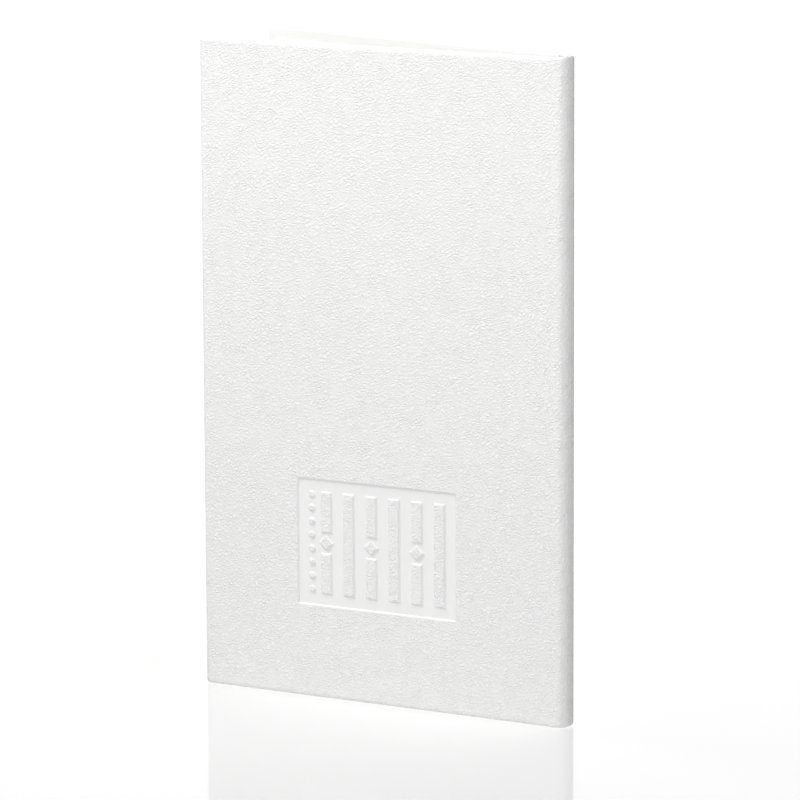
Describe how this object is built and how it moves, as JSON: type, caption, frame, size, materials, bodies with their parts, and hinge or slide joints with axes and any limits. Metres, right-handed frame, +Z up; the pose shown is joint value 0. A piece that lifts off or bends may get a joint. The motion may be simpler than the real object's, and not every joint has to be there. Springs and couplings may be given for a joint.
{
  "type": "prayer book",
  "caption": "Thin hardcover booklet in white grained leatherette with a rounded spine and a pressed ornament panel; both covers swing on the spine and the leaves fan open between them.",
  "frame": {"origin": "centre of the standing book's outline, on the surface it stands on (z = 0 at the tail edges of the covers and the spine)", "axes": "+Z up from the tail to the head, +X towards the spine, -X towards the fore-edge, -Y towards the reader of the front cover; the covers open alike on both sides of the XZ plane"},
  "size_m": [0.1114, 0.033, 0.18],
  "materials": {
    "leatherette": "white grained leatherette, half matt",
    "board": "grey book board",
    "endpaper": "plain white endpaper",
    "leaf": "thin blank text paper",
    "glued_folds": "paper folds set in glue",
    "gauze": "open cotton gauze",
    "lining": "kraft paper",
    "thread": "white linen thread"
  },
  "bodies": {
    "spine": {"spine_skin": "leatherette", "spine_stiffener": "board", "spine_lining": "lining", "spine_mull": "gauze", "section_back_1": "glued_folds", "sewing_thread_1": "thread"},
    "front_cover": {"front_cover_skin": "leatherette", "front_board": "board", "front_mull_flange": "gauze", "front_pastedown": "endpaper"},
    "back_cover": {"back_cover_skin": "leatherette", "back_board": "board", "back_mull_flange": "gauze", "back_pastedown": "endpaper"},
    "front_flyleaf": {"front_flyleaf": "endpaper"},
    "back_flyleaf": {"back_flyleaf": "endpaper"},
    "leaf_01": {"leaf_01": "leaf"},
    "leaf_02": {"leaf_02": "leaf"},
    "leaf_03": {"leaf_03": "leaf"},
    "leaf_04": {"leaf_04": "leaf"},
    "leaf_05": {"leaf_05": "leaf"},
    "leaf_06": {"leaf_06": "leaf"},
    "leaf_07": {"leaf_07": "leaf"},
    "leaf_08": {"leaf_08": "leaf"},
    "leaf_09": {"leaf_09": "leaf"},
    "leaf_10": {"leaf_10": "leaf"},
    "leaf_11": {"leaf_11": "leaf"},
    "leaf_12": {"leaf_12": "leaf"}
  },
  "joints": [
    {"name": "front_hinge", "type": "hinge", "parent": "spine", "child": "front_cover", "pos_m": [0.05228, -0.00304, 0.09], "axis": [0, 0, 1], "range_deg": [-7, 83]},
    {"name": "back_hinge", "type": "hinge", "parent": "spine", "child": "back_cover", "pos_m": [0.05228, 0.00304, 0.09], "axis": [0, 0, -1], "range_deg": [-7, 83]},
    {"name": "front_flyleaf_turn", "type": "hinge", "parent": "spine", "child": "front_flyleaf", "pos_m": [0.05022, -0.00098, 0.09], "axis": [0, 0, 1], "range_deg": [-6.08, 71.94]},
    {"name": "leaf_01_turn", "type": "hinge", "parent": "spine", "child": "leaf_01", "pos_m": [0.05009, -0.00085, 0.09], "axis": [0, 0, 1], "range_deg": [-5.33, 63.14]},
    {"name": "leaf_02_turn", "type": "hinge", "parent": "spine", "child": "leaf_02", "pos_m": [0.04995, -0.00071, 0.09], "axis": [0, 0, 1], "range_deg": [-3.93, 46.5]},
    {"name": "leaf_03_turn", "type": "hinge", "parent": "spine", "child": "leaf_03", "pos_m": [0.04982, -0.00058, 0.09], "axis": [0, 0, 1], "range_deg": [-3.49, 41.32]},
    {"name": "leaf_04_turn", "type": "hinge", "parent": "spine", "child": "leaf_04", "pos_m": [0.04968, -0.00044, 0.09], "axis": [0, 0, 1], "range_deg": [-2.3, 27.21]},
    {"name": "leaf_05_turn", "type": "hinge", "parent": "spine", "child": "leaf_05", "pos_m": [0.04954, -0.0003, 0.09], "axis": [0, 0, 1], "range_deg": [-1.25, 14.71]},
    {"name": "leaf_06_turn", "type": "hinge", "parent": "spine", "child": "leaf_06", "pos_m": [0.04941, -0.00017, 0.09], "axis": [0, 0, 1], "range_deg": [-0.75, 8.79]},
    {"name": "leaf_07_turn", "type": "hinge", "parent": "spine", "child": "leaf_07", "pos_m": [0.04941, 0.00017, 0.09], "axis": [0, 0, -1], "range_deg": [-0.72, 8.39]},
    {"name": "leaf_08_turn", "type": "hinge", "parent": "spine", "child": "leaf_08", "pos_m": [0.04954, 0.0003, 0.09], "axis": [0, 0, -1], "range_deg": [-1.33, 15.69]},
    {"name": "leaf_09_turn", "type": "hinge", "parent": "spine", "child": "leaf_09", "pos_m": [0.04968, 0.00044, 0.09], "axis": [0, 0, -1], "range_deg": [-2.22, 26.17]},
    {"name": "leaf_10_turn", "type": "hinge", "parent": "spine", "child": "leaf_10", "pos_m": [0.04982, 0.00058, 0.09], "axis": [0, 0, -1], "range_deg": [-3.54, 41.86]},
    {"name": "leaf_11_turn", "type": "hinge", "parent": "spine", "child": "leaf_11", "pos_m": [0.04995, 0.00071, 0.09], "axis": [0, 0, -1], "range_deg": [-3.95, 46.75]},
    {"name": "leaf_12_turn", "type": "hinge", "parent": "spine", "child": "leaf_12", "pos_m": [0.05009, 0.00085, 0.09], "axis": [0, 0, -1], "range_deg": [-5.26, 62.23]},
    {"name": "back_flyleaf_turn", "type": "hinge", "parent": "spine", "child": "back_flyleaf", "pos_m": [0.05022, 0.00098, 0.09], "axis": [0, 0, -1], "range_deg": [-6.17, 73.02]}
  ],
  "couplings": [
    {"joint": "front_flyleaf_turn", "follows": "front_hinge", "ratio": 0.86667},
    {"joint": "leaf_01_turn", "follows": "front_hinge", "ratio": 0.76061},
    {"joint": "leaf_02_turn", "follows": "front_hinge", "ratio": 0.5601},
    {"joint": "leaf_03_turn", "follows": "front_hinge", "ratio": 0.49775},
    {"joint": "leaf_04_turn", "follows": "front_hinge", "ratio": 0.32777},
    {"joint": "leaf_05_turn", "follows": "front_hinge", "ratio": 0.17706},
    {"joint": "leaf_06_turn", "follows": "front_hinge", "ratio": 0.10579},
    {"joint": "leaf_07_turn", "follows": "back_hinge", "ratio": 0.10095},
    {"joint": "leaf_08_turn", "follows": "back_hinge", "ratio": 0.18898},
    {"joint": "leaf_09_turn", "follows": "back_hinge", "ratio": 0.31517},
    {"joint": "leaf_10_turn", "follows": "back_hinge", "ratio": 0.50425},
    {"joint": "leaf_11_turn", "follows": "back_hinge", "ratio": 0.56318},
    {"joint": "leaf_12_turn", "follows": "back_hinge", "ratio": 0.7496},
    {"joint": "back_flyleaf_turn", "follows": "back_hinge", "ratio": 0.87969}
  ]
}
